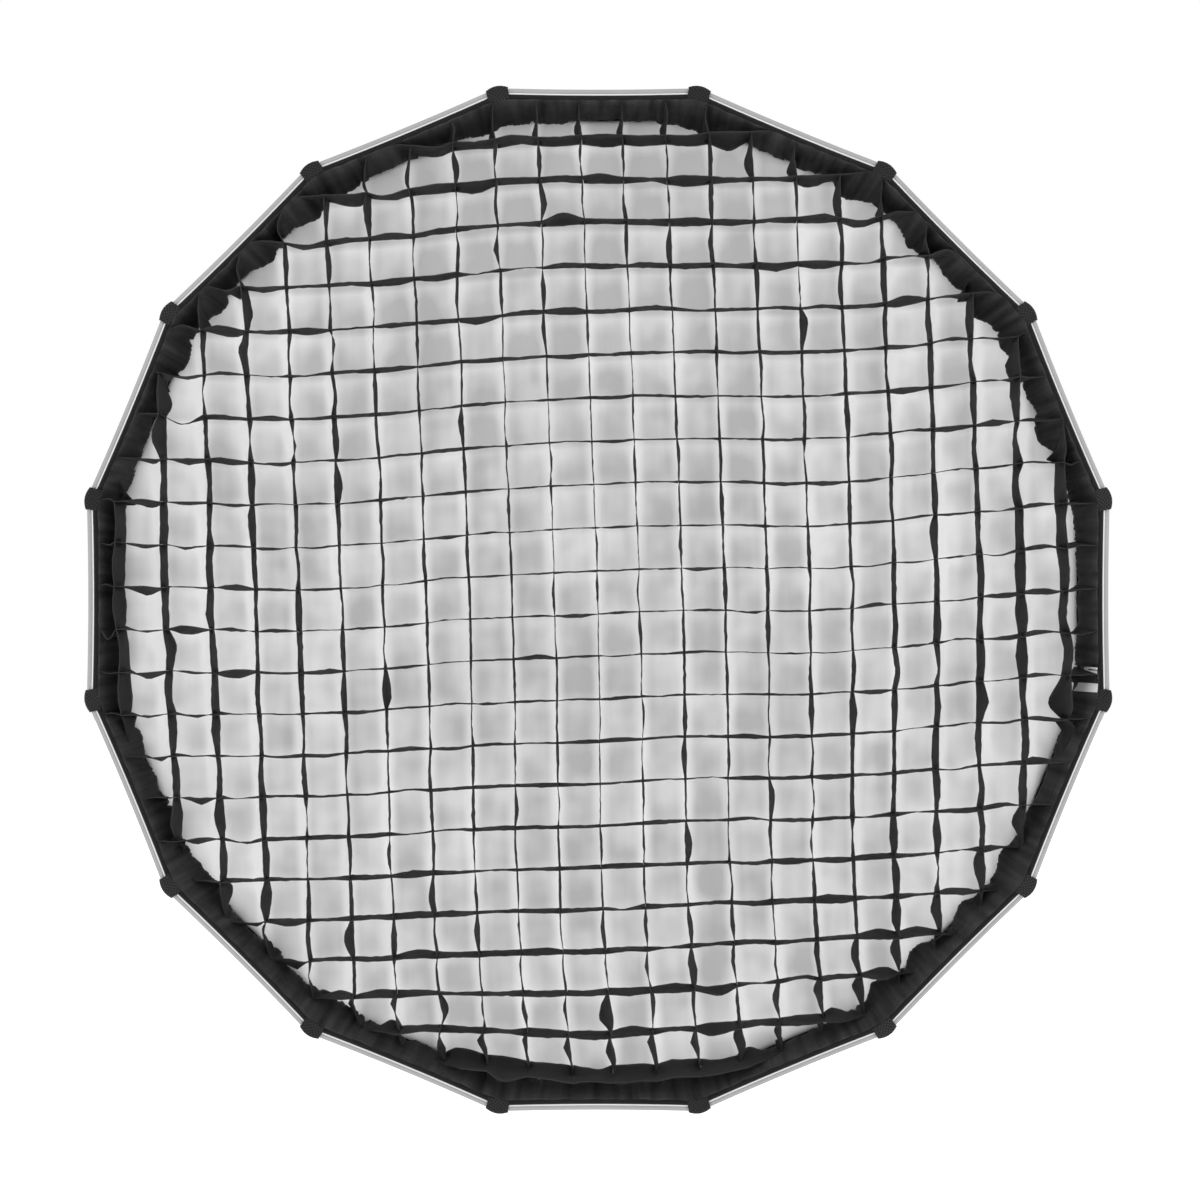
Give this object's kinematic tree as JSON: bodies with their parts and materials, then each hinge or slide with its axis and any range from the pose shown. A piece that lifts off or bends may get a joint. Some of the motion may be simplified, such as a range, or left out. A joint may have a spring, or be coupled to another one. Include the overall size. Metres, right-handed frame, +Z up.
{
  "type": "fabric egg-crate grid with softbox rim",
  "caption": "Square-cell black fabric light grid, held by hook-and-loop in the recessed sixteen-sided front rim of a softbox, with its white diffuser behind.",
  "frame": {"origin": "centre of the circle of rod sockets, in the plane of their mouths, on the axis of the rim", "axes": "+Y along the rim's axis, the way the rods leave, so the lit front faces -Y; +Z up as the box hangs; +X to the right seen from the front"},
  "size_m": [1.1984, 0.078, 1.1984],
  "materials": {
    "grid_fabric": "coated black nylon, fine plain weave, soft sheen",
    "lip_fabric": "black nylon, fine plain weave, lightly creased",
    "binding_tape": "silver-grey woven tape",
    "white_piping": "smooth white piping",
    "webbing": "coarse black webbing",
    "cup_plastic": "moulded black plastic",
    "loop_tape": "black loop tape, brushed",
    "hook_tape": "black hook tape, finely ribbed",
    "diffuser_fabric": "white translucent nylon, soft sheen",
    "tag_fabric": "white satin tag, blank"
  },
  "bodies": {
    "rim": {"lip_band": "lip_fabric", "edge_binding": "binding_tape", "edge_piping": "white_piping", "corner_pockets": "webbing", "rod_cups": "cup_plastic", "front_loop_tape": "loop_tape", "rear_loop_tape": "loop_tape"},
    "diffuser": {"diffuser_cloth": "diffuser_fabric", "diffuser_hook_band": "hook_tape"},
    "grid": {"grid_skirt": "grid_fabric", "grid_hook_tape": "hook_tape", "closure_tab": "webbing", "care_tag": "tag_fabric", "upright_strip_01": "grid_fabric", "upright_strip_02": "grid_fabric", "upright_strip_03": "grid_fabric", "upright_strip_04": "grid_fabric", "upright_strip_05": "grid_fabric", "upright_strip_06": "grid_fabric", "upright_strip_07": "grid_fabric", "upright_strip_08": "grid_fabric", "upright_strip_09": "grid_fabric", "upright_strip_10": "grid_fabric", "upright_strip_11": "grid_fabric", "upright_strip_12": "grid_fabric", "upright_strip_13": "grid_fabric", "upright_strip_14": "grid_fabric", "upright_strip_15": "grid_fabric", "upright_strip_16": "grid_fabric", "upright_strip_17": "grid_fabric", "upright_strip_18": "grid_fabric", "upright_strip_19": "grid_fabric", "upright_strip_20": "grid_fabric", "upright_strip_21": "grid_fabric", "upright_strip_22": "grid_fabric", "upright_strip_23": "grid_fabric", "level_strip_01": "grid_fabric", "level_strip_02": "grid_fabric", "level_strip_03": "grid_fabric", "level_strip_04": "grid_fabric", "level_strip_05": "grid_fabric", "level_strip_06": "grid_fabric", "level_strip_07": "grid_fabric", "level_strip_08": "grid_fabric", "level_strip_09": "grid_fabric", "level_strip_10": "grid_fabric", "level_strip_11": "grid_fabric", "level_strip_12": "grid_fabric", "level_strip_13": "grid_fabric", "level_strip_14": "grid_fabric", "level_strip_15": "grid_fabric", "level_strip_16": "grid_fabric", "level_strip_17": "grid_fabric", "level_strip_18": "grid_fabric", "level_strip_19": "grid_fabric", "level_strip_20": "grid_fabric", "level_strip_21": "grid_fabric", "level_strip_22": "grid_fabric", "level_strip_23": "grid_fabric"}
  },
  "joints": [
    {"name": "diffuser_peel", "type": "slide", "parent": "rim", "child": "diffuser", "axis": [0, -1, 0], "range_m": [0, 0.15]},
    {"name": "grid_peel", "type": "slide", "parent": "diffuser", "child": "grid", "axis": [0, -1, 0], "range_m": [0, 0.2]}
  ]
}
